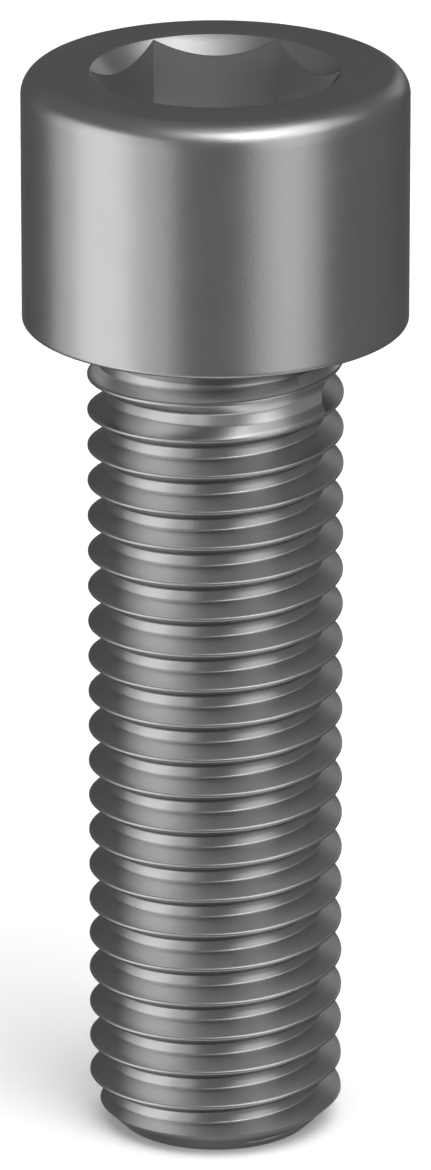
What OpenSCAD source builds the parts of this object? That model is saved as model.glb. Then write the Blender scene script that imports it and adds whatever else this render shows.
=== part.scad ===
// Socket head cap screw with a coarse metric thread, standing on its tip.
// The centre of its bearing face is at the origin, with the head above and the shank below. The
// screw's front, towards -Y, is square to one flat of its socket.

/* [Head] */
// Diameter of the head
head_d = 18; // [16:0.5:24]
// Height of the head above its bearing face
head_h = 12; // [9:0.5:16]
// Radius of the round edge between the top and the side of the head
head_edge_r = 1.1; // [0.4:0.1:2]
// Width of the small bevel between the side of the head and its bearing face
head_bevel = 0.2; // [0.1:0.05:0.5]

/* [Socket] */
// Hexagon socket, across its flats
hex_af = 10; // [6:0.5:11]
// Depth of the socket's flat walls, measured from the top of the head
hex_depth = 6; // [4:0.25:7]
// Depth of the cone that the punch leaves below those walls
hex_cone_h = 1; // [0.5:0.1:1.5]
// How far the countersunk mouth is wider than the corners of the hexagon, on the diameter
mouth_margin = 0.06; // [0.02:0.02:0.6]
// Angle between the two sides of the mouth
mouth_angle = 90; // [80:5:120]

/* [Shank] */
// Diameter of the plain neck under the head, which is the nominal size
shank_d = 12; // [10:0.5:14]
// Length from the bearing face to the tip
shank_l = 40; // [20:1:60]
// Length of the neck, from the bearing face to the first groove
neck_l = 1.6; // [1.5:0.1:4]
// Width of the fillet between the neck and the bearing face, on the radius
fillet_w = 0.85; // [0.4:0.05:1]
// Length of that fillet along the neck
fillet_l = 1.4; // [0.4:0.1:1.5]
// Diameter of the flat end of the tip
tip_d = 9.2; // [7.5:0.1:9.5]
// Angle between the tip's bevel and the screw's axis
tip_angle = 45; // [30:5:60]

/* [Thread] */
// Distance from one crest to the next
pitch = 1.75; // [1:0.05:2]
// How far the crests lie inside the nominal diameter, on the diameter
crest_allowance = 0.034; // [0.02:0.002:0.3]
// Distance of the crest on the left of the socket's front flat from the bearing face
first_crest = 2.7; // [1.8:0.05:3.5]
// Share of its depth that the groove keeps where it is incomplete
runout_share = 0.25; // [0.1:0.05:0.9]
// Angle round the screw at which the groove begins to grow shallow
runout_from = 262; // [200:1:280]
// Angle over which it grows shallow
runout_fade = 30; // [15:1:40]
// Angle round the screw at which it is deep again
runout_to = 329; // [322:1:350]

/* [Hidden] */
steel = [0.33, 0.34, 0.335];
round_fn = 96;
fillet_steps = 12;

head_r = head_d / 2;
shank_r = shank_d / 2;
tip_r = tip_d / 2;
hex_corner_r = hex_af / 2 / cos(30);
mouth_r = hex_corner_r + mouth_margin / 2;
// Width of the flat ring that is left round the cone, and where it ends inside the flats
cone_land = 0.4;
cone_r = hex_af / 2 - cone_land;
// The tip's bevel ends where it meets the crests
crest_r = shank_r - crest_allowance / 2;
tip_l = (crest_r - tip_r) / tan(tip_angle);

// Basic profile of a metric thread: 60 degree flanks, a flat crest an eighth of the pitch wide and
// a flat root twice as wide
crest_flat = pitch / 8;
root_flat = pitch / 4;
flank_h = (pitch - crest_flat - root_flat) / 2;
groove_depth = flank_h / tan(30);

// How far what is cut away reaches past the surface that it is cut from
over = 1;

// The thread is a closed skin of flat facets. It starts a turn below the tip and ends inside the
// neck, so that both of its ends are out of sight. Turns are numbered upwards from the first crest.
first_turn = floor((first_crest - shank_l) / pitch - 0.5);
last_turn = ceil((first_crest - neck_l) / pitch + 0.5);
turns = last_turn - first_turn;
facet_budget = 10000;
facets_each_step = 8;
finest_steps = 48;
steps = min(finest_steps, floor(facet_budget / facets_each_step / turns));
last = turns * steps;

// Angle round the screw at step i, counted from the right-hand side, with whole turns added
function step_angle(i) = 360 * (first_turn + i / steps);

// Height of the middle of the crest at an angle
function crest_z(a) = pitch * (a - 180) / 360 - first_crest;

// From 0 to 1, smoothly, as t goes from 0 to 1
function eased(t) = t <= 0 ? 0 : t >= 1 ? 1 : t * t * (3 - 2 * t);

// Share of its depth that the groove has at an angle. It is shallow in front, above the first
// whole crest, where the thread ends.
function groove_share(a) =
    let (turn_angle = a - 360 * floor(a / 360))
    a < runout_from - 360 || turn_angle > runout_to ? 1
        : 1 - (1 - runout_share) * eased((turn_angle - runout_from) / runout_fade);

// Corners of the profile at an angle: the upper edge of a crest, the two edges of the root above
// it, and the lower edge of the next crest
function profile(a) =
    let (
        z = crest_z(a) + crest_flat / 2,
        r = crest_r - groove_share(a) * groove_depth
    )
    [
        [crest_r, z],
        [r, z + flank_h],
        [r, z + flank_h + root_flat],
        [crest_r, z + 2 * flank_h + root_flat]
    ];

// Point at a radius, an angle and a height
function on_turn(r, a, z) = [r * cos(a), r * sin(a), z];

// The thread as one closed solid. Points 4 * i to 4 * i + 3 are the profile's corners at step i,
// and the rings that close the ends follow them.
module thread() {
    low_z = crest_z(step_angle(0)) - pitch / 2;
    high_z = crest_z(step_angle(last)) + 3 * pitch / 2;
    corners = [
        for (i = [0 : last])
            for (p = profile(step_angle(i)))
                on_turn(p[0], step_angle(i), p[1])
    ];
    low_ring = [for (i = [0 : steps - 1]) on_turn(crest_r, step_angle(i), low_z)];
    high_ring = [for (i = [0 : steps - 1]) on_turn(crest_r, step_angle(i), high_z)];
    low = len(corners);
    high = low + steps;
    low_centre = high + steps;
    high_centre = low_centre + 1;
    // Number of a corner, and of a point on the lower and the upper ring
    function c(i, k) = 4 * i + k;
    function l(i) = low + i % steps;
    function h(i) = high + i % steps;
    // Two facets between the lines k and k + 1 of neighbouring steps
    groove = [
        for (i = [0 : last - 1])
            for (k = [0 : 2])
                each [
                    [c(i, k), c(i, k + 1), c(i + 1, k + 1)],
                    [c(i, k), c(i + 1, k + 1), c(i + 1, k)]
                ]
    ];
    // Two facets between the top of one groove and the bottom of the next
    crest = [
        for (i = [0 : last - steps - 1])
            each [
                [c(i, 3), c(i + steps, 0), c(i + steps + 1, 0)],
                [c(i, 3), c(i + steps + 1, 0), c(i + 1, 3)]
            ]
    ];
    // Cylinder from the lower ring up to the first turn, and the groove's end in it
    first = [
        for (i = [0 : steps - 2])
            each [
                [l(i), c(i, 0), c(i + 1, 0)],
                [l(i), c(i + 1, 0), l(i + 1)]
            ],
        [l(steps - 1), c(steps - 1, 0), c(steps, 0)],
        [l(steps - 1), c(steps, 0), c(0, 3)],
        [l(steps - 1), c(0, 3), c(0, 0)],
        [l(steps - 1), c(0, 0), l(0)],
        [c(0, 0), c(0, 3), c(0, 2)],
        [c(0, 0), c(0, 2), c(0, 1)]
    ];
    // The same at the last turn and the upper ring
    top = last - steps;
    end = [
        [h(1), c(top + 1, 3), c(top, 3)],
        [h(1), c(top, 3), c(last, 0)],
        [h(1), c(last, 0), c(last, 3)],
        [h(1), c(last, 3), h(0)],
        for (i = [1 : steps - 1])
            each [
                [c(top + i, 3), h(i), h(i + 1)],
                [c(top + i, 3), h(i + 1), c(top + i + 1, 3)]
            ],
        [c(last, 0), c(last, 1), c(last, 2)],
        [c(last, 0), c(last, 2), c(last, 3)]
    ];
    caps = [
        for (i = [0 : steps - 1])
            each [
                [low_centre, l(i), l(i + 1)],
                [high_centre, h(i + 1), h(i)]
            ]
    ];
    polyhedron(
        points = concat(corners, low_ring, high_ring, [[0, 0, low_z], [0, 0, high_z]]),
        faces = concat(groove, crest, first, end, caps),
        convexity = 10
    );
}

// What is cut away to leave the tip's flat end and its bevel
module tip_waste() {
    reach = tip_l + over;
    outer_r = tip_r + reach * tan(tip_angle);
    below = crest_z(step_angle(0)) - pitch;
    rotate_extrude($fn = round_fn)
        polygon([
            [0, -shank_l],
            [tip_r, -shank_l],
            [outer_r, reach - shank_l],
            [outer_r, below],
            [0, below]
        ]);
}

// Point of the fillet under the head, a quarter of an ellipse, from the neck at 0 to the bearing
// face at 90 degrees
function fillet_edge(t) = [shank_r + fillet_w * (1 - cos(t)), -fillet_l * (1 - sin(t))];

// Half section of the head, the fillet under it and the neck
module head_section() {
    edge = [head_r - head_edge_r, head_h - head_edge_r];
    difference() {
        union() {
            square([edge.x, head_h]);
            square([head_r, edge.y]);
            translate(edge)
                circle(r = head_edge_r, $fn = round_fn);
        }
        translate([head_r - head_bevel, 0])
            polygon([[0, 0], [over, over], [over, -over], [0, -over]]);
    }
    translate([0, -neck_l])
        square([shank_r, neck_l]);
    polygon([
        [0, 0],
        [0, -fillet_l],
        for (i = [0 : fillet_steps]) fillet_edge(90 * i / fillet_steps)
    ]);
}

// Hexagon hole with a conical bottom and a countersunk mouth
module socket() {
    floor_z = head_h - hex_depth;
    slope = tan(mouth_angle / 2);
    mouth_h = (mouth_r - cone_r) / slope;
    translate([0, 0, floor_z])
        cylinder(r = hex_corner_r, h = hex_depth + over, $fn = 6);
    translate([0, 0, floor_z - hex_cone_h])
        cylinder(r1 = 0, r2 = cone_r, h = hex_cone_h, $fn = round_fn);
    translate([0, 0, head_h - mouth_h])
        cylinder(r1 = cone_r, r2 = mouth_r + over * slope, h = mouth_h + over, $fn = round_fn);
}

// The whole screw
module cap_screw() {
    color(steel)
        difference() {
            union() {
                difference() {
                    thread();
                    tip_waste();
                }
                rotate_extrude($fn = round_fn)
                    head_section();
            }
            socket();
        }
}

cap_screw();
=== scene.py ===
"""A socket head cap screw of dark alloy steel, standing on its tip in plain studio light.

The screw was cold forged and its thread rolled, so it is one closed skin: a helical grid for the
thread, cut off by the tip's bevel and by the neck, and rings of points for the head and its socket.
Lengths are in millimetres until the mesh is made, and heights are above the bearing face. Angles
run round the screw from +X, and its front, which the camera looks at, is at 270 degrees.
"""
import logging
import math
from dataclasses import dataclass, field
from enum import Enum
from typing import Callable, ClassVar, Sequence

import bpy
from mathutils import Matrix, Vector


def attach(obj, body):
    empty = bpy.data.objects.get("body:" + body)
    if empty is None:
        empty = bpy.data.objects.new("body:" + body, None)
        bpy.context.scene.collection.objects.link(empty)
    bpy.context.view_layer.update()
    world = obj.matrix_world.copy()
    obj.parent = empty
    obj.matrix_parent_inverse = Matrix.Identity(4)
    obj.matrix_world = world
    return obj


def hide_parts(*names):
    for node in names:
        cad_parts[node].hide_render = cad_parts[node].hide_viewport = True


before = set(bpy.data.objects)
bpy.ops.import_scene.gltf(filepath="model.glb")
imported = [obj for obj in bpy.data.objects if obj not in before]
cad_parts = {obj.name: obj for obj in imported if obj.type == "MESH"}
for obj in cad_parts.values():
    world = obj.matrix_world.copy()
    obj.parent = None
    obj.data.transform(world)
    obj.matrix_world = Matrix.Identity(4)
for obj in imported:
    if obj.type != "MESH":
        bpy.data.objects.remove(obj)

log = logging.getLogger("cap_screw")

MM = 0.001
FULL_TURN = 360.0
PHOTO_HEIGHT_PX = 1170

Point = tuple[float, float, float]
Face = tuple[int, ...]
Section = list[tuple[float, float]]


class Side(Enum):
    """Side of a cut that a face lies on."""

    BELOW = "below"
    ABOVE = "above"


def arc(centre: tuple[float, float], radii: tuple[float, float], start: float, end: float,
        steps: int) -> Section:
    """Return points along an arc of a circle or an ellipse.

    Args:
        centre: Centre of the arc, as distance from the axis and height.
        radii: Half width and half height of the whole ellipse.
        start: Angle of the first point in degrees, from outwards towards upwards.
        end: Angle of the last point in degrees.
        steps: Number of straight pieces that make up the arc.

    Returns:
        The arc's points, both ends among them.
    """
    angles = [math.radians(start + (end - start) * i / steps) for i in range(steps + 1)]
    return [(centre[0] + radii[0] * math.cos(t), centre[1] + radii[1] * math.sin(t))
            for t in angles]


def eased(t: float) -> float:
    """Return a share that goes smoothly from 0 to 1 as t does."""
    t = min(max(t, 0.0), 1.0)
    return t * t * (3.0 - 2.0 * t)


def linear_colour(code: str) -> tuple[float, float, float, float]:
    """Turn an sRGB hex colour into the linear colour that a shader takes.

    Args:
        code: Colour such as "#5A5E5C".

    Returns:
        Linear red, green, blue, and an alpha of 1.
    """
    parts = [int(code[i:i + 2], 16) / 255.0 for i in (1, 3, 5)]
    linear = [p / 12.92 if p <= 0.04045 else ((p + 0.055) / 1.055) ** 2.4 for p in parts]
    return (linear[0], linear[1], linear[2], 1.0)


@dataclass
class Skin:
    """The screw's surface while it is being built, in millimetres.

    Attributes:
        points: Every point, also those that end up in no face.
        faces: The faces, as numbers of points, seen anticlockwise from outside.
    """

    # Points this close to a cut, in millimetres, are taken to lie on it.
    touch: ClassVar[float] = 1e-4

    points: list[Point] = field(default_factory=list)
    faces: list[Face] = field(default_factory=list)

    def add_point(self, radius: float, degrees: float, height: float) -> int:
        """Add a point.

        Args:
            radius: Its distance from the axis.
            degrees: Its angle round the screw.
            height: Its height.

        Returns:
            Its number.
        """
        angle = math.radians(degrees)
        self.points.append((radius * math.cos(angle), radius * math.sin(angle), height))
        return len(self.points) - 1

    def add_ring(self, radii: Sequence[float], degrees: Sequence[float],
                 heights: Sequence[float]) -> list[int]:
        """Add one point at each angle and return their numbers."""
        return [self.add_point(r, a, z) for r, a, z in zip(radii, degrees, heights)]

    def join(self, first: Sequence[int], second: Sequence[int]) -> None:
        """Join two rings with the same number of points by quads.

        Args:
            first: The ring that comes first on the way up the outside of the screw.
            second: The ring that comes next.
        """
        count = len(first)
        for i in range(count):
            n = (i + 1) % count
            self.faces.append((first[i], first[n], second[n], second[i]))

    def grow(self, ring: Sequence[int], radii: Sequence[float], degrees: Sequence[float],
             heights: Sequence[float]) -> list[int]:
        """Add a ring and join the one before it to it.

        Args:
            ring: The ring before it, with as many points.
            radii: Distances of its points from the axis.
            degrees: Their angles.
            heights: Their heights.

        Returns:
            The numbers of its points.
        """
        added = self.add_ring(radii, degrees, heights)
        self.join(ring, added)
        return added

    def close(self, ring: Sequence[int], centre: int, below: bool) -> None:
        """Close a ring with triangles that meet at a centre point.

        Args:
            ring: The ring to close, in order round the screw.
            centre: Number of the centre point.
            below: Whether the triangles face downwards.
        """
        for a, b in zip(ring, list(ring[1:]) + [ring[0]]):
            self.faces.append((centre, b, a) if below else (centre, a, b))

    def degrees(self, index: int) -> float:
        """Return a point's angle round the screw, from 0 to 360."""
        x, y, _ = self.points[index]
        return math.degrees(math.atan2(y, x)) % FULL_TURN

    def stitch(self, first: Sequence[int], second: Sequence[int]) -> None:
        """Join two rings with different numbers of points by triangles.

        Args:
            first: The ring that comes first on the way up, sorted by angle.
            second: The ring that comes next, sorted by angle.
        """
        i = o = 0
        while i < len(first) or o < len(second):
            next_first = self.degrees(first[i + 1]) if i + 1 < len(first) else FULL_TURN
            next_second = self.degrees(second[o + 1]) if o + 1 < len(second) else FULL_TURN
            a, b = first[i % len(first)], second[o % len(second)]
            if o == len(second) or (i < len(first) and next_first <= next_second):
                self.faces.append((a, first[(i + 1) % len(first)], b))
                i += 1
            else:
                self.faces.append((a, second[(o + 1) % len(second)], b))
                o += 1

    def cut(self, faces: Sequence[Face], level: Callable[[Point], float]
            ) -> dict[Side, list[Face]]:
        """Cut faces along the line where a function of their points is zero.

        Args:
            faces: The faces to cut.
            level: Function that is zero on the cut and negative below it.

        Returns:
            The faces on each side. Neighbours share the points that are added on the cut.
        """
        levels: dict[int, float] = {}
        crossings: dict[tuple[int, int], int] = {}
        sides: dict[Side, list[Face]] = {Side.BELOW: [], Side.ABOVE: []}

        def level_at(i: int) -> float:
            """Return the function's value at a point, or 0 where the point touches the cut.

            Args:
                i: Number of the point.

            Returns:
                The value, which is also kept in levels.
            """
            if i not in levels:
                value = level(self.points[i])
                levels[i] = 0.0 if abs(value) < self.touch else value
            return levels[i]

        def crossing(a: int, b: int) -> int:
            """Return the point where an edge meets the cut, and add it the first time.

            Args:
                a: Number of the point at one end of the edge.
                b: Number of the point at the other end.

            Returns:
                Number of the point on the cut.
            """
            key = (min(a, b), max(a, b))
            if key not in crossings:
                share = levels[a] / (levels[a] - levels[b])
                start, end = self.points[a], self.points[b]
                self.points.append(tuple(p + share * (q - p) for p, q in zip(start, end)))
                crossings[key] = len(self.points) - 1
                levels[crossings[key]] = 0.0
            return crossings[key]

        for face in faces:
            values = [level_at(i) for i in face]
            if max(values) <= 0.0:
                sides[Side.BELOW].append(face)
                continue
            if min(values) >= 0.0:
                sides[Side.ABOVE].append(face)
                continue
            for k in range(1, len(face) - 1):
                corners = (face[0], face[k], face[k + 1])
                parts: dict[Side, list[int]] = {Side.BELOW: [], Side.ABOVE: []}
                for a, b in zip(corners, corners[1:] + corners[:1]):
                    if levels[a] <= 0.0:
                        parts[Side.BELOW].append(a)
                    if levels[a] >= 0.0:
                        parts[Side.ABOVE].append(a)
                    if levels[a] * levels[b] < 0.0:
                        middle = crossing(a, b)
                        parts[Side.BELOW].append(middle)
                        parts[Side.ABOVE].append(middle)
                for side, part in parts.items():
                    off_cut = [i for i in part if levels[i] != 0.0]
                    if len(part) > 2 and off_cut:
                        sides[side].append(tuple(part))
        return sides

    def rim(self, faces: Sequence[Face], height: float) -> list[int]:
        """Return the points of some faces that lie at a height, sorted by angle."""
        found = {i for face in faces for i in face if abs(self.points[i][2] - height) < self.touch}
        return sorted(found, key=self.degrees)

    def to_object(self, name: str, sharp_from: float) -> bpy.types.Object:
        """Make the Blender object.

        Args:
            name: Name of the object and of its mesh.
            sharp_from: Angle in degrees between two faces from which their edge is sharp.

        Returns:
            The object, in the scene, in metres.
        """
        used = sorted({i for face in self.faces for i in face})
        numbers = {old: new for new, old in enumerate(used)}
        mesh = bpy.data.meshes.new(name)
        mesh.from_pydata([[c * MM for c in self.points[i]] for i in used], [],
                         [[numbers[i] for i in face] for face in self.faces])
        mesh.validate()
        mesh.shade_smooth()
        mesh.set_sharp_from_angle(angle=math.radians(sharp_from))
        piece = bpy.data.objects.new(name, mesh)
        bpy.context.scene.collection.objects.link(piece)
        return piece


@dataclass(frozen=True)
class RolledThread:
    """The metric thread, M12 x 1.75, right-hand, rolled between flat dies.

    The groove's angles are those of the crest below it. Whole turns are counted, from the first
    whole crest in front, which runs from 180 to 360 degrees.

    Attributes:
        pitch: Distance from one crest to the next.
        flank_angle: Angle between a flank and a plane across the axis, in degrees.
        crest_radius: Radius of the crests.
        neck_radius: Radius of the neck that the thread runs out into.
        first_crest: Depth of the first whole crest on the left, under the bearing face.
        crest_flat: Width of the crests, which the photo shows narrower than an eighth of the pitch.
        crest_round: Radius of the edges of the crests.
        crest_steps: Number of straight pieces in each of those edges.
        root_round: Radius of the corners of the root.
        root_steps: Number of straight pieces in each of those corners.
        hold: Distance of the rows that keep the flanks flat from the rounded corners.
        runout_share: Share of its depth that the groove keeps where it is incomplete.
        runout: Angles between which the groove grows shallow, and at which it is deep again.
        groove_end: Angles between which the groove rises to the neck, behind the screw.
        crest_end: Angles between which the crest sinks to the neck, behind the screw.
    """

    # Widths of the crest and the root in the basic profile, as shares of the pitch.
    basic_flats: ClassVar[tuple[float, float]] = (1.0 / 8.0, 1.0 / 4.0)

    pitch: float = 1.75
    flank_angle: float = 30.0
    crest_radius: float = 5.983
    neck_radius: float = 5.43
    first_crest: float = 2.7
    crest_flat: float = 0.11
    crest_round: float = 0.06
    crest_steps: int = 3
    root_round: float = 0.14
    root_steps: int = 2
    hold: float = 0.03
    runout_share: float = 0.25
    runout: tuple[float, float, float] = (-142.0, -62.0, -31.0)
    groove_end: tuple[float, float] = (40.0, 140.0)
    crest_end: tuple[float, float] = (380.0, 500.0)

    @property
    def flank_height(self) -> float:
        """Height of a flank, as in the basic profile. What the crest lacks, the root has more."""
        return self.pitch * (1.0 - sum(self.basic_flats)) / 2.0

    @property
    def depth(self) -> float:
        """Depth of the groove where it is whole."""
        return self.flank_height / math.tan(math.radians(self.flank_angle))

    def crest_height(self, degrees: float) -> float:
        """Return the height of the middle of the crest at an angle, whole turns counted."""
        return self.pitch * (degrees - 180.0) / FULL_TURN - self.first_crest

    def crest_at(self, degrees: float) -> float:
        """Return the radius of the crest, which sinks to the neck behind the screw.

        Args:
            degrees: Angle of the crest, whole turns counted.

        Returns:
            The radius.
        """
        start, end = self.crest_end
        fade = eased((degrees - start) / (end - start))
        return self.crest_radius + fade * (self.neck_radius - self.crest_radius)

    def root_at(self, degrees: float) -> float:
        """Return the radius of the root above a crest.

        Args:
            degrees: Angle of the crest, whole turns counted.

        Returns:
            The radius, larger where the groove is shallow or rises to the neck.
        """
        start, full, stop = self.runout
        root = self.crest_radius - self.depth
        if start < degrees < stop:
            fade = eased((degrees - start) / (full - start))
            root += fade * (1.0 - self.runout_share) * self.depth
        start, end = self.groove_end
        return root + eased((degrees - start) / (end - start)) * (self.neck_radius - root)

    def profile(self) -> Section:
        """Return one pitch of the groove, from crest to crest.

        Returns:
            Pairs of a depth below the crest and a height above the middle of the lower crest. The
            flat top of the crest lies between the last pair and the first pair of the next turn.
        """
        turn = math.radians(90.0 - self.flank_angle)
        flank = (math.sin(turn), math.cos(turn))
        edge = self.crest_flat / 2.0
        root = edge + self.flank_height
        half: Section = []
        reach = self.crest_round * math.tan(turn / 2.0)
        for i in range(self.crest_steps + 1):
            t = turn * i / self.crest_steps
            half.append((self.crest_round * (1.0 - math.cos(t)),
                         edge - reach + self.crest_round * math.sin(t)))
        half.append((half[-1][0] + self.hold * flank[0], half[-1][1] + self.hold * flank[1]))
        reach = self.root_round * math.tan(turn / 2.0)
        corner: Section = []
        for i in range(self.root_steps + 1):
            t = turn * (1.0 - i / self.root_steps)
            corner.append((self.depth - self.root_round * (1.0 - math.cos(t)),
                           root + reach - self.root_round * math.sin(t)))
        half.append((corner[0][0] - self.hold * flank[0], corner[0][1] - self.hold * flank[1]))
        half.extend(corner)
        return half + [(d, self.pitch - z) for d, z in reversed(half)]

    def grid(self, skin: Skin, columns: Sequence[float], low: float, high: float) -> list[Face]:
        """Add the thread's surface to a skin, longer than it is needed at both ends.

        Args:
            skin: The skin that the points go into.
            columns: Angles of the columns in one turn.
            low: Height that the lower end reaches past.
            high: Height that the upper end reaches past.

        Returns:
            The faces, which aren't in the skin yet.
        """
        # Two more turns below and one above keep the grid's own ends out of the cuts.
        first = math.floor((low - self.crest_height(0.0)) / self.pitch) - 2
        last = math.ceil((high - self.crest_height(0.0)) / self.pitch) + 1
        profile = self.profile()
        rows = len(profile)
        base = len(skin.points)
        angles = [FULL_TURN * turn + a for turn in range(first, last) for a in columns]
        for angle in angles:
            middle, root = self.crest_height(angle), self.root_at(angle)
            for k, (depth, height) in enumerate(profile):
                crest = self.crest_at(angle if 2 * k < rows else angle + FULL_TURN)
                radius = crest - depth / self.depth * (crest - root)
                skin.add_point(radius, angle, middle + height)
        faces: list[Face] = []
        for s in range(len(angles) - 1):
            for k in range(rows):
                if k + 1 < rows:
                    up = (s * rows + k + 1, (s + 1) * rows + k + 1)
                elif s + 1 + len(columns) < len(angles):
                    up = ((s + len(columns)) * rows, (s + 1 + len(columns)) * rows)
                else:
                    continue
                corners = (s * rows + k, (s + 1) * rows + k, up[1], up[0])
                heights = [skin.points[base + c][2] for c in corners]
                if max(heights) > low and min(heights) < high:
                    faces.append(tuple(base + c for c in corners))
        return faces


@dataclass(frozen=True)
class Shank:
    """The threaded shank with its bevelled tip, up to the neck.

    Attributes:
        length: Length from the bearing face to the tip.
        thread_top: Depth of the thread's upper end under the bearing face.
        tip_radius: Radius of the flat end of the tip.
        tip_angle: Angle between the tip's bevel and the axis, in degrees.
        tip_round: Radius of the edge between the bevel and the flat end.
        tip_steps: Number of straight pieces in that edge.
        thread: The thread on it.
    """

    length: float = 40.0
    thread_top: float = 1.5
    tip_radius: float = 4.6
    tip_angle: float = 45.0
    tip_round: float = 0.12
    tip_steps: int = 3
    thread: RolledThread = RolledThread()

    def bevel_radius(self, height: float) -> float:
        """Return the radius of the tip's bevel at a height."""
        return self.tip_radius + (height + self.length) * math.tan(math.radians(self.tip_angle))

    def build(self, skin: Skin, columns: Sequence[float]) -> list[int]:
        """Add the shank to a skin.

        Args:
            skin: The skin to add to.
            columns: Angles of the columns in one turn.

        Returns:
            The points at the thread's upper end, sorted by angle.
        """
        turn = math.radians(90.0 - self.tip_angle)
        reach = self.tip_round * math.tan(turn / 2.0)
        low = reach * math.sin(turn) - self.length
        faces = self.thread.grid(skin, columns, low, -self.thread_top)
        faces = skin.cut(faces, lambda p: p[2] - low)[Side.ABOVE]
        faces = skin.cut(faces, lambda p: p[2] + self.thread_top)[Side.BELOW]
        halves = skin.cut(faces, lambda p: math.hypot(p[0], p[1]) - self.bevel_radius(p[2]))
        for i in {i for face in halves[Side.ABOVE] for i in face}:
            x, y, z = skin.points[i]
            scale = self.bevel_radius(z) / math.hypot(x, y)
            skin.points[i] = (x * scale, y * scale, z)
        faces = halves[Side.BELOW] + halves[Side.ABOVE]
        skin.faces.extend(faces)
        self.end(skin, skin.rim(faces, low), reach)
        return skin.rim(faces, -self.thread_top)

    def end(self, skin: Skin, rim: list[int], reach: float) -> None:
        """Round the edge of the tip and close its flat end.

        Args:
            skin: The skin to add to.
            rim: Points at the lower end of the bevel.
            reach: Distance over which the edge is round, on the flat end.
        """
        columns = [skin.degrees(i) for i in rim]
        centre = (self.tip_radius - reach, self.tip_round - self.length)
        radii = (self.tip_round, self.tip_round)
        upper = rim
        for radius, height in arc(centre, radii, self.tip_angle - 90.0, -90.0,
                                  self.tip_steps)[1:]:
            lower = skin.add_ring([radius] * len(rim), columns, [height] * len(rim))
            skin.join(lower, upper)
            upper = lower
        skin.close(upper, skin.add_point(0.0, 0.0, -self.length), below=True)


@dataclass(frozen=True)
class HexSocket:
    """The hexagon hole for the key, with a countersunk mouth and the cone that the punch leaves.

    Attributes:
        across_flats: Width across the flats.
        depth: Depth of the flat walls from the top of the head.
        cone_depth: Depth of the cone below the walls.
        land: Width of the flat ring round the cone, inside the flats.
        mouth_margin: How far the mouth is wider than the corners, on the diameter.
        mouth_slope: Angle between the mouth and the top of the head, in degrees.
        mouth_round: Radius of the edge between the mouth and the top of the head.
        mouth_steps: Number of straight pieces in that edge.
        rows: Number of rows of faces in the mouth, and in the walls.
    """

    across_flats: float = 10.0
    depth: float = 6.0
    cone_depth: float = 1.0
    land: float = 0.4
    mouth_margin: float = 0.06
    mouth_slope: float = 45.0
    mouth_round: float = 0.03
    mouth_steps: int = 3
    rows: int = 3

    @property
    def mouth_radius(self) -> float:
        """Radius of the mouth in the top of the head."""
        return self.wall_radius(0.0) + self.mouth_margin / 2.0

    def wall_radius(self, degrees: float) -> float:
        """Return the distance of the wall from the axis. Corners are at 0, 60, 120 and so on."""
        off_flat = degrees % 60.0 - 30.0
        return self.across_flats / 2.0 / math.cos(math.radians(off_flat))

    def mouth_height(self, radius: float, top: float) -> float:
        """Return the mouth's height at a distance from the axis, where the head's top is given."""
        return top - (self.mouth_radius - radius) * math.tan(math.radians(self.mouth_slope))

    def mouth_edge(self, top: float) -> Section:
        """Return the rounded edge between the top of the head and the mouth.

        Args:
            top: Height of the top of the head.

        Returns:
            Its points, from the top of the head inwards.
        """
        reach = self.mouth_round * math.tan(math.radians(self.mouth_slope / 2.0))
        centre = (self.mouth_radius + reach, top - self.mouth_round)
        radii = (self.mouth_round, self.mouth_round)
        return arc(centre, radii, 90.0, 90.0 + self.mouth_slope, self.mouth_steps)

    def build(self, skin: Skin, columns: Sequence[float], ring: list[int], top: float) -> None:
        """Add the socket below the mouth's rounded edge.

        Args:
            skin: The skin to add to.
            columns: Angles of the columns in one turn.
            ring: The ring of points at the inner end of the rounded edge.
            top: Height of the top of the head.
        """
        start = self.mouth_edge(top)[-1][0]
        walls = [self.wall_radius(a) for a in columns]
        floor = top - self.depth
        shares = [i / self.rows for i in range(1, self.rows + 1)]
        for share in shares:
            radii = [start + share * (w - start) for w in walls]
            ring = skin.grow(ring, radii, columns, [self.mouth_height(r, top) for r in radii])
        upper_ends = [self.mouth_height(w, top) for w in walls]
        for share in shares:
            ring = skin.grow(ring, walls, columns, [z + share * (floor - z) for z in upper_ends])
        cone_radius = self.across_flats / 2.0 - self.land
        # The cone has a ring at its rim and one half way down.
        for share in (0.0, 0.5):
            ring = skin.grow(ring, [cone_radius * (1.0 - share)] * len(columns), columns,
                             [floor - share * self.cone_depth] * len(columns))
        skin.close(ring, skin.add_point(0.0, 0.0, floor - self.cone_depth), below=False)


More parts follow.
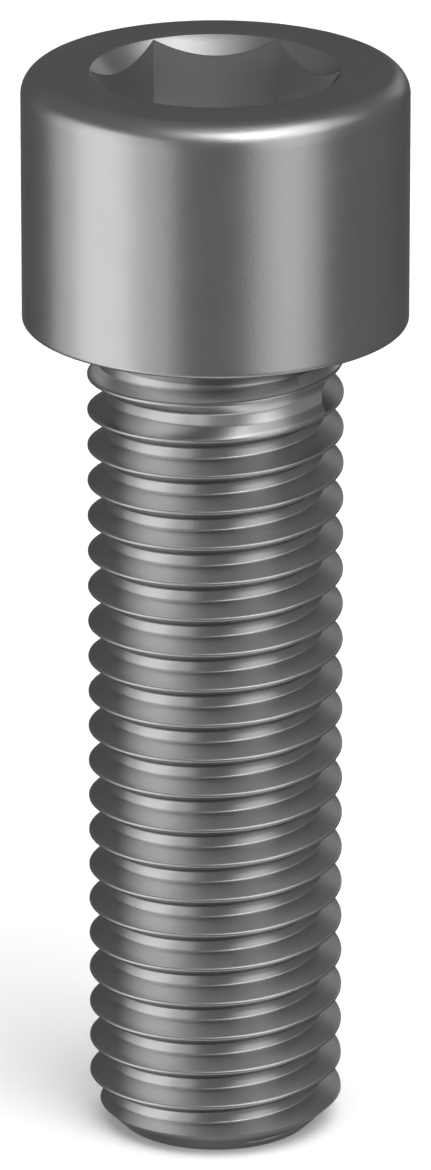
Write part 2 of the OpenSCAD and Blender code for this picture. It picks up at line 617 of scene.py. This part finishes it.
@dataclass(frozen=True)
class Head:
    """The cylindrical head and the fillet under it, which ends at the neck.

    Attributes:
        radius: Radius of the head.
        height: Height above the bearing face.
        edge_round: Radius of the edge between the side and the top.
        edge_steps: Number of straight pieces in that edge.
        lower_round: Radius of the edge between the side and the bearing face.
        lower_steps: Number of straight pieces in that edge.
        fillet_radius: Radius of the outer edge of the fillet under the head.
        fillet_length: Length of that fillet along the neck.
        fillet_steps: Number of straight pieces in the fillet.
        hold: Distance of the rings that keep flat surfaces flat from rounded ones.
        socket: The socket in it.
    """

    radius: float = 9.0
    height: float = 12.0
    edge_round: float = 1.1
    edge_steps: int = 16
    lower_round: float = 0.2
    lower_steps: int = 5
    fillet_radius: float = 6.85
    fillet_length: float = 1.4
    fillet_steps: int = 12
    hold: float = 0.1
    socket: HexSocket = HexSocket()

    def outline(self, neck_radius: float) -> Section:
        """Return the half section from the neck to the mouth of the socket.

        Args:
            neck_radius: Radius of the neck.

        Returns:
            Points as distance from the axis and height, in order.
        """
        side = self.height - self.edge_round
        fillet_width = self.fillet_radius - neck_radius
        lower_edge = self.radius - self.lower_round
        upper_edge = self.radius - self.edge_round
        mouth = self.socket.mouth_edge(self.height)
        return [
            *arc((self.fillet_radius, -self.fillet_length), (fillet_width, self.fillet_length),
                 180.0, 90.0, self.fillet_steps),
            (self.fillet_radius + self.hold, 0.0),
            (lower_edge - self.hold, 0.0),
            *arc((lower_edge, self.lower_round), (self.lower_round, self.lower_round),
                 -90.0, 0.0, self.lower_steps),
            (self.radius, self.lower_round + self.hold),
            (self.radius, side - self.hold),
            *arc((upper_edge, side), (self.edge_round, self.edge_round), 0.0, 90.0,
                 self.edge_steps),
            (upper_edge - self.hold, self.height),
            (mouth[0][0] + self.hold, self.height),
            *mouth,
        ]

    def build(self, skin: Skin, columns: Sequence[float], ring: list[int],
              neck_radius: float) -> None:
        """Add the head to a skin.

        Args:
            skin: The skin to add to.
            columns: Angles of the columns in one turn.
            ring: The points at the thread's upper end, sorted by angle.
            neck_radius: Radius of the neck.
        """
        for i, (radius, height) in enumerate(self.outline(neck_radius)):
            above = skin.add_ring([radius] * len(columns), columns, [height] * len(columns))
            if i == 0:
                skin.stitch(ring, above)
            else:
                skin.join(ring, above)
            ring = above
        self.socket.build(skin, columns, ring, self.height)


Link = tuple[str | int, bpy.types.NodeSocket]


def add_node(tree: bpy.types.NodeTree, kind: str, settings: dict[str, object] | None = None,
             inputs: dict[str | int, object] | None = None,
             links: Sequence[Link] = ()) -> bpy.types.Node:
    """Add a node to a tree.

    Args:
        tree: The tree to add to.
        kind: Type of the node, such as "ShaderNodeTexNoise".
        settings: Attributes of the node and their values.
        inputs: Constant values of its input sockets, by name or number.
        links: Pairs of an input socket of the node and the output socket that feeds it.

    Returns:
        The new node.
    """
    node = tree.nodes.new(kind)
    for name, value in (settings or {}).items():
        setattr(node, name, value)
    for name, value in (inputs or {}).items():
        node.inputs[name].default_value = value
    for name, source in links:
        tree.links.new(source, node.inputs[name])
    return node


class Measure(Enum):
    """What a recess is bounded by. Lengths are in millimetres."""

    RADIUS = "distance from the axis"
    HEIGHT = "height"
    RISE = "height less distance from the axis"
    FACING = "how far the surface faces up, from -1 to 1"

    @property
    def unit(self) -> float:
        """Factor from its values to the shader's, which has lengths in metres."""
        return 1.0 if self is Measure.FACING else MM


Limit = tuple[Measure, float, float]


@dataclass(frozen=True)
class PaintedLightOrShade:
    """Painted light or shade: a colour standing in for light or shade on one part of the screw.

    Attributes:
        place: The part of the screw that it is painted on.
        colour: The painted colour.
        limits: What bounds it. Each limit gives a measure, the value where the painted light or
            shade begins to show, and the value where it is whole.
    """

    place: str
    colour: str
    limits: tuple[Limit, ...]


# The flanks, from beside the root to just inside the crests, on the whole thread. The root is
# 5.04 mm from the axis and the crests 5.98 mm, and the flanks face 0.87 up or down.
FLANKS: tuple[Limit, ...] = (
    (Measure.HEIGHT, -1.45, -1.5),
    (Measure.RADIUS, 5.04, 5.10),
    (Measure.RADIUS, 5.96, 5.90),
)


@dataclass(frozen=True)
class OiledAlloySteel:
    """Alloy steel, cold forged, hardened and oiled: dark grey, satin, with soft highlights.

    The dies leave the surface smooth. Hardening turns it dark and slightly uneven, and the film of
    oil evens out its gloss. Faint streaks run along the thread's turns, as the metal flows there.

    The painted light and shade isn't another finish. Its lighter colours are painted light in
    the grooves and on the socket's walls, where shade falls, and a painted highlight on the
    shallow groove where the thread ends. Its darker colours are painted shade on the flanks that
    face the head and on the fillet under the head.

    Attributes:
        dark: Colour where the scale from hardening is thickest.
        light: Colour where it is thinnest.
        painted_light_and_shade: Painted light and shade on parts of the screw. A later one covers
            an earlier one.
        edge_tint: How much light comes back at a grazing angle, against clean metal.
        gloss: Lowest and highest roughness.
        cloud_mm: Width of the uneven patches.
        cloud_range: Values of the noise that give the lowest and the highest roughness.
        grain_mm: Width of the fine grain of the scale. A real grain of about 0.05 mm is too fine to
            show in the render, so it is drawn twice as wide.
        grain_height_mm: Height of the grain.
        streak_mm: Width of the streaks along the thread.
        streak_length_mm: Length of those streaks.
        streak_height_mm: Height of those streaks.
        streak_fade_mm: Depth under the bearing face at which the streaks are whole.
    """

    dark: str = "#909090"
    light: str = "#9A9B9A"
    painted_light_and_shade: tuple[PaintedLightOrShade, ...] = (
        # Painted highlight: the shallow groove where the thread ends is much lighter than the
        # steel.
        PaintedLightOrShade("shallow groove where the thread ends", "#BEBEBE", (
            (Measure.RADIUS, 5.35, 5.60),
            (Measure.RADIUS, 5.96, 5.90),
            (Measure.HEIGHT, -2.3, -2.6),
        )),
        # Painted shade: the flanks that face the head are a little darker than the steel.
        PaintedLightOrShade("flanks that face the head", "#8A8A8A", (
            *FLANKS,
            (Measure.FACING, 0.1, 0.4),
        )),
        # Painted light: the flanks that face the tip are nearly white, where the grooves are in
        # shade.
        # These begin at the crests' outer edge, and end above the tip's bevel.
        PaintedLightOrShade("flanks that face the tip", "#F2F2F2", (
            (Measure.RADIUS, 6.0, 5.99),
            (Measure.HEIGHT, -1.45, -1.5),
            (Measure.HEIGHT, -38.7, -38.5),
            (Measure.FACING, -0.4, -0.8),
        )),
        # Painted light: the first flank under the head is nearly white, where the head shades it.
        PaintedLightOrShade("first flank under the head", "#F2F2F2", (
            *FLANKS,
            (Measure.HEIGHT, -2.6, -2.35),
            (Measure.FACING, 0.45, 0.65),
        )),
        # Painted shade: the fillet under the head is darker, as the head shades it.
        PaintedLightOrShade("fillet under the head", "#6C6C6C", (
            (Measure.RADIUS, 6.9, 6.85),
            (Measure.HEIGHT, -1.5, -1.45),
            (Measure.HEIGHT, -0.02, -0.04),
        )),
        # Painted light: the socket's walls are lighter, where the socket is in shade.
        # The countersunk mouth is where the height is 6.2 mm more than the distance from the axis.
        PaintedLightOrShade("walls of the socket", "#D8D9D8", (
            (Measure.RADIUS, 5.79, 5.78),
            (Measure.HEIGHT, 4.2, 6.2),
            (Measure.RISE, 6.19, 6.17),
        )),
    )
    edge_tint: float = 0.5
    gloss: tuple[float, float] = (0.28, 0.32)
    cloud_mm: float = 3.0
    cloud_range: tuple[float, float] = (0.3, 0.7)
    grain_mm: float = 0.1
    grain_height_mm: float = 0.004
    streak_mm: float = 0.12
    streak_length_mm: float = 6.0
    streak_height_mm: float = 0.004
    streak_fade_mm: float = 0.5

    def material(self) -> bpy.types.Material:
        """Make the material.

        Returns:
            The material, with its colour, gloss and relief from nodes.
        """
        material = bpy.data.materials.new("oiled_alloy_steel")
        material.use_nodes = True
        tree = material.node_tree
        tree.nodes.clear()
        coordinates = add_node(tree, "ShaderNodeTexCoord")
        place = coordinates.outputs["Object"]
        measures = self.measures(tree, place, coordinates.outputs["Normal"])
        clouds = add_node(tree, "ShaderNodeTexNoise", inputs={
            "Scale": 1.0 / (self.cloud_mm * MM), "Detail": 4.0, "Roughness": 0.6,
        }, links=[("Vector", place)])
        gloss = add_node(tree, "ShaderNodeMapRange", inputs={
            "From Min": self.cloud_range[0], "From Max": self.cloud_range[1],
            "To Min": self.gloss[0], "To Max": self.gloss[1],
        }, links=[("Value", clouds.outputs["Fac"])])
        tint = (self.edge_tint, self.edge_tint, self.edge_tint, 1.0)
        shader = add_node(tree, "ShaderNodeBsdfPrincipled", inputs={
            "Metallic": 1.0, "Specular Tint": tint,
        }, links=[
            ("Base Color", self.colour(tree, measures, clouds.outputs["Fac"])),
            ("Roughness", gloss.outputs["Result"]),
            ("Normal", self.relief(tree, place, measures[Measure.HEIGHT])),
        ])
        add_node(tree, "ShaderNodeOutputMaterial",
                 links=[("Surface", shader.outputs["BSDF"])])
        return material

    def measures(self, tree: bpy.types.NodeTree, place: bpy.types.NodeSocket,
                 normal: bpy.types.NodeSocket) -> dict[Measure, bpy.types.NodeSocket]:
        """Add the nodes that give what recesses are bounded by.

        Args:
            tree: The material's nodes.
            place: The place on the screw, in metres.
            normal: The surface's direction there.

        Returns:
            The value of each measure, in metres where it is a length.
        """
        height = add_node(tree, "ShaderNodeSeparateXYZ", links=[("Vector", place)]).outputs["Z"]
        facing = add_node(tree, "ShaderNodeSeparateXYZ", links=[("Vector", normal)]).outputs["Z"]
        level = add_node(tree, "ShaderNodeVectorMath", {"operation": "MULTIPLY"},
                         {1: (1.0, 1.0, 0.0)}, [(0, place)])
        radius = add_node(tree, "ShaderNodeVectorMath", {"operation": "LENGTH"},
                          links=[(0, level.outputs[0])]).outputs["Value"]
        rise = add_node(tree, "ShaderNodeMath", {"operation": "SUBTRACT"},
                        links=[(0, height), (1, radius)]).outputs[0]
        return {Measure.RADIUS: radius, Measure.HEIGHT: height, Measure.RISE: rise,
                Measure.FACING: facing}

    def zone(self, tree: bpy.types.NodeTree, measures: dict[Measure, bpy.types.NodeSocket],
             limits: Sequence[Limit]) -> bpy.types.NodeSocket:
        """Add the nodes that give where a painted light or shade shows.

        Args:
            tree: The material's nodes.
            measures: The value of each measure.
            limits: The limits of the painted light or shade.

        Returns:
            A share, which is 1 where all the limits let the painted light or shade show whole.
        """
        shares = [add_node(tree, "ShaderNodeMapRange", inputs={
            "From Min": start * measure.unit, "From Max": whole * measure.unit,
        }, links=[("Value", measures[measure])]).outputs["Result"]
            for measure, start, whole in limits]
        product = shares[0]
        for share in shares[1:]:
            product = add_node(tree, "ShaderNodeMath", {"operation": "MULTIPLY"},
                               links=[(0, product), (1, share)]).outputs[0]
        return product

    def colour(self, tree: bpy.types.NodeTree, measures: dict[Measure, bpy.types.NodeSocket],
               clouds: bpy.types.NodeSocket) -> bpy.types.NodeSocket:
        """Add the nodes that give the colour, with painted light and shade over it.

        Args:
            tree: The material's nodes.
            measures: The value of each measure.
            clouds: The uneven patches, from 0 to 1.

        Returns:
            The colour.
        """
        # Sockets 0, 6 and 7 of a colour mix are its share and its two colours, and 2 is the result.
        colour = add_node(tree, "ShaderNodeMix", {"data_type": "RGBA"}, {
            6: linear_colour(self.dark), 7: linear_colour(self.light),
        }, [(0, clouds)]).outputs[2]
        # Painted light and shade go over the steel's colour, one part of the screw after another.
        for painted in self.painted_light_and_shade:
            share = self.zone(tree, measures, painted.limits)
            colour = add_node(tree, "ShaderNodeMix", {"data_type": "RGBA", "label": painted.place}, {
                7: linear_colour(painted.colour),
            }, [(0, share), (6, colour)]).outputs[2]
        return colour

    def relief(self, tree: bpy.types.NodeTree, place: bpy.types.NodeSocket,
               height: bpy.types.NodeSocket) -> bpy.types.NodeSocket:
        """Add the nodes that give the fine relief.

        Args:
            tree: The material's nodes.
            place: The place on the screw, in metres.
            height: The height on the screw, in metres.

        Returns:
            The normal.
        """
        grain = add_node(tree, "ShaderNodeTexNoise", inputs={
            "Scale": 1.0 / (self.grain_mm * MM), "Detail": 2.0, "Roughness": 0.5,
        }, links=[("Vector", place)])
        grain_bump = add_node(tree, "ShaderNodeBump", inputs={
            "Strength": 1.0, "Distance": self.grain_height_mm * MM,
        }, links=[("Height", grain.outputs["Fac"])])
        along = 1.0 / (self.streak_length_mm * MM)
        across = 1.0 / (self.streak_mm * MM)
        stretched = add_node(tree, "ShaderNodeMapping", inputs={
            "Scale": (along, along, across),
        }, links=[("Vector", place)])
        streaks = add_node(tree, "ShaderNodeTexNoise", inputs={
            "Scale": 1.0, "Detail": 2.0, "Roughness": 0.5,
        }, links=[("Vector", stretched.outputs["Vector"])])
        # The streaks are on the thread alone, so they stop at the bearing face.
        on_thread = add_node(tree, "ShaderNodeMapRange", inputs={
            "From Min": 0.0, "From Max": -self.streak_fade_mm * MM,
        }, links=[("Value", height)])
        streak_bump = add_node(tree, "ShaderNodeBump", inputs={
            "Distance": self.streak_height_mm * MM,
        }, links=[
            ("Strength", on_thread.outputs["Result"]),
            ("Height", streaks.outputs["Fac"]),
            ("Normal", grain_bump.outputs["Normal"]),
        ])
        return streak_bump.outputs["Normal"]


@dataclass(frozen=True)
class CapScrew:
    """The whole screw, one forged and rolled piece.

    Attributes:
        shank: The shank with its thread.
        head: The head with its socket.
        finish: The surface of the steel.
        column_step: Angle between the columns of points, in degrees. It divides 60, so that the
            socket's corners fall on columns.
        step_edge: Angle of one more column, which makes the end of the incomplete groove abrupt.
        sharp_from: Angle between two faces from which their edge is sharp.
    """

    shank: Shank = Shank()
    head: Head = Head()
    finish: OiledAlloySteel = OiledAlloySteel()
    column_step: float = 2.5
    step_edge: float = 328.8
    sharp_from: float = 35.0

    def build(self) -> bpy.types.Object:
        """Returns:
            The screw's object.
        """
        count = round(FULL_TURN / self.column_step)
        columns = sorted([i * self.column_step for i in range(count)] + [self.step_edge])
        skin = Skin()
        ring = self.shank.build(skin, columns)
        self.head.build(skin, columns, ring, self.shank.thread.neck_radius)
        piece = skin.to_object("alloy_steel_cap_screw", self.sharp_from)
        piece.data.materials.append(self.finish.material())
        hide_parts("cap_screw")
        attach(piece, "root")
        log.info("%s: %d points, %d faces", piece.name, len(piece.data.vertices),
                 len(piece.data.polygons))
        return piece


@dataclass(frozen=True)
class Softbox:
    """A flat soft lamp that faces the screw. The camera doesn't see it.

    Attributes:
        name: Name of the lamp.
        azimuth: Angle round the screw in degrees, from its front towards its right.
        elevation: Angle above the level of the screw's middle, in degrees.
        span: Angles that its width and its height take up, seen from the screw, in degrees.
        brightness: How bright its face is, where white paper is 1.
        distance: Distance from the screw's middle in metres.
    """

    name: str
    azimuth: float
    elevation: float
    span: tuple[float, float]
    brightness: float
    distance: float = 1.5

    def build(self, target: Vector) -> bpy.types.Object:
        """Add the lamp to the scene, turned towards a point.

        Args:
            target: The point that it faces, in metres.

        Returns:
            The lamp's object.
        """
        azimuth, elevation = math.radians(self.azimuth), math.radians(self.elevation)
        away = Vector((math.sin(azimuth) * math.cos(elevation),
                       -math.cos(azimuth) * math.cos(elevation), math.sin(elevation)))
        width, height = (2.0 * self.distance * math.tan(math.radians(a / 2.0)) for a in self.span)
        light = bpy.data.lights.new(self.name, "AREA")
        light.shape = "RECTANGLE"
        light.size = width
        light.size_y = height
        # With this power the lamp's face is as bright as white paper where brightness is 1.
        light.energy = math.pi * width * height * self.brightness
        lamp = bpy.data.objects.new(self.name, light)
        lamp.location = target + away * self.distance
        lamp.rotation_euler = away.to_track_quat("Z", "Y").to_euler()
        lamp.visible_camera = False
        bpy.context.scene.collection.objects.link(lamp)
        return lamp


@dataclass(frozen=True)
class Studio:
    """The pale floor, the surroundings, the lamps and the camera.

    Attributes:
        floor_height: Height of the floor in metres, a hundredth of a millimetre under the tip, so
            that the two don't show through each other.
        floor_size: Width of the floor in metres.
        floor_colour: Colour of the floor.
        surroundings: How bright the surroundings are, where white paper is 1.
        aim: The point that the camera looks at, in metres.
        view_angle: Angle of the camera above the level, in degrees.
        distance: Distance of the camera from that point, in metres.
        focal_px: Focal length in pixels of the photo.
        sensor_mm: Width of the sensor, which stands for the photo's height, its longer side.
        clip: Nearest and farthest distance that the camera sees, in metres.
        lamps: The lamps.
        floor_lamp: A lamp for the floor alone, which the steel doesn't show.
    """

    floor_height: float = -0.04001
    floor_size: float = 12.0
    floor_colour: str = "#F4F4F2"
    surroundings: float = 0.30
    aim: Point = (0.0, 0.0, -0.013197)
    view_angle: float = 19.933
    distance: float = 0.45951
    focal_px: float = 9797.4
    sensor_mm: float = 36.0
    clip: tuple[float, float] = (0.01, 50.0)
    lamps: tuple[Softbox, ...] = (
        Softbox("left_softbox", -68.0, -8.0, (84.0, 75.0), 0.9),
        Softbox("left_softbox_core", -70.0, -8.0, (38.0, 75.0), 1.0, 1.4),
        Softbox("right_softbox", 43.0, 4.0, (46.0, 58.0), 0.9),
        Softbox("right_softbox_core", 43.0, 4.0, (22.0, 58.0), 0.5, 1.4),
        Softbox("top_softbox", 40.0, 52.0, (55.0, 42.0), 1.9),
        Softbox("top_softbox_core", 32.0, 50.0, (24.0, 24.0), 2.5),
        Softbox("front_top_softbox", 0.0, 55.0, (40.0, 30.0), 0.7),
        Softbox("right_top_softbox", 80.0, 50.0, (40.0, 40.0), 0.7),
        Softbox("overhead_softbox", 45.0, 80.0, (50.0, 30.0), 0.5),
        Softbox("back_right_softbox", 153.0, 14.0, (22.0, 20.0), 0.75),
        # The floor isn't in the steel's reflections, so this stands in for the light from it.
        Softbox("paper_glow", 0.0, -72.0, (90.0, 50.0), 0.8),
    )
    floor_lamp: Softbox = Softbox("floor_lamp", 0.0, 90.0, (60.0, 60.0), 1.2)

    def build(self) -> None:
        """Build the floor, the surroundings, the lamps and the camera."""
        self.build_floor()
        self.build_world()
        for lamp in self.lamps:
            lamp.build(Vector(self.aim))
        self.floor_lamp.build(Vector(self.aim)).visible_glossy = False
        self.build_camera()
        bpy.context.scene.view_settings.view_transform = "Standard"
        log.info("studio: %d lamps", len(self.lamps))

    def build_floor(self) -> None:
        """Add the floor. Reflections in the steel look past it at the grey surroundings."""
        half = self.floor_size / 2.0
        mesh = bpy.data.meshes.new("floor")
        mesh.from_pydata([(x * half, y * half, self.floor_height)
                          for x, y in ((-1, -1), (1, -1), (1, 1), (-1, 1))], [], [(0, 1, 2, 3)])
        floor = bpy.data.objects.new("floor", mesh)
        bpy.context.scene.collection.objects.link(floor)
        material = bpy.data.materials.new("white_paper_floor")
        material.use_nodes = True
        tree = material.node_tree
        tree.nodes.clear()
        paper = add_node(tree, "ShaderNodeBsdfDiffuse",
                         inputs={"Color": linear_colour(self.floor_colour)})
        add_node(tree, "ShaderNodeOutputMaterial", links=[("Surface", paper.outputs[0])])
        mesh.materials.append(material)
        floor.visible_glossy = False

    def build_world(self) -> None:
        """Make the surroundings an even grey, which the steel shows between the lamps."""
        world = bpy.data.worlds.new("grey_surroundings")
        world.use_nodes = True
        tree = world.node_tree
        tree.nodes.clear()
        grey = add_node(tree, "ShaderNodeBackground", inputs={
            "Color": (1.0, 1.0, 1.0, 1.0), "Strength": self.surroundings,
        })
        add_node(tree, "ShaderNodeOutputWorld", links=[("Surface", grey.outputs[0])])
        bpy.context.scene.world = world

    def build_camera(self) -> None:
        """Add the camera where the photo was taken from."""
        angle = math.radians(self.view_angle)
        away = Vector((0.0, -math.cos(angle), math.sin(angle)))
        data = bpy.data.cameras.new("camera")
        data.sensor_width = self.sensor_mm
        data.lens = self.sensor_mm * self.focal_px / PHOTO_HEIGHT_PX
        data.clip_start, data.clip_end = self.clip
        camera = bpy.data.objects.new("camera", data)
        camera.location = Vector(self.aim) + away * self.distance
        camera.rotation_euler = away.to_track_quat("Z", "Y").to_euler()
        bpy.context.scene.collection.objects.link(camera)
        bpy.context.scene.camera = camera


def main() -> None:
    """Build the screw and its studio."""
    logging.basicConfig(level=logging.INFO, format="%(name)s: %(message)s")
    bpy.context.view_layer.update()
    CapScrew().build()
    Studio().build()
    bpy.context.view_layer.update()


if __name__ == "__main__":
    main()
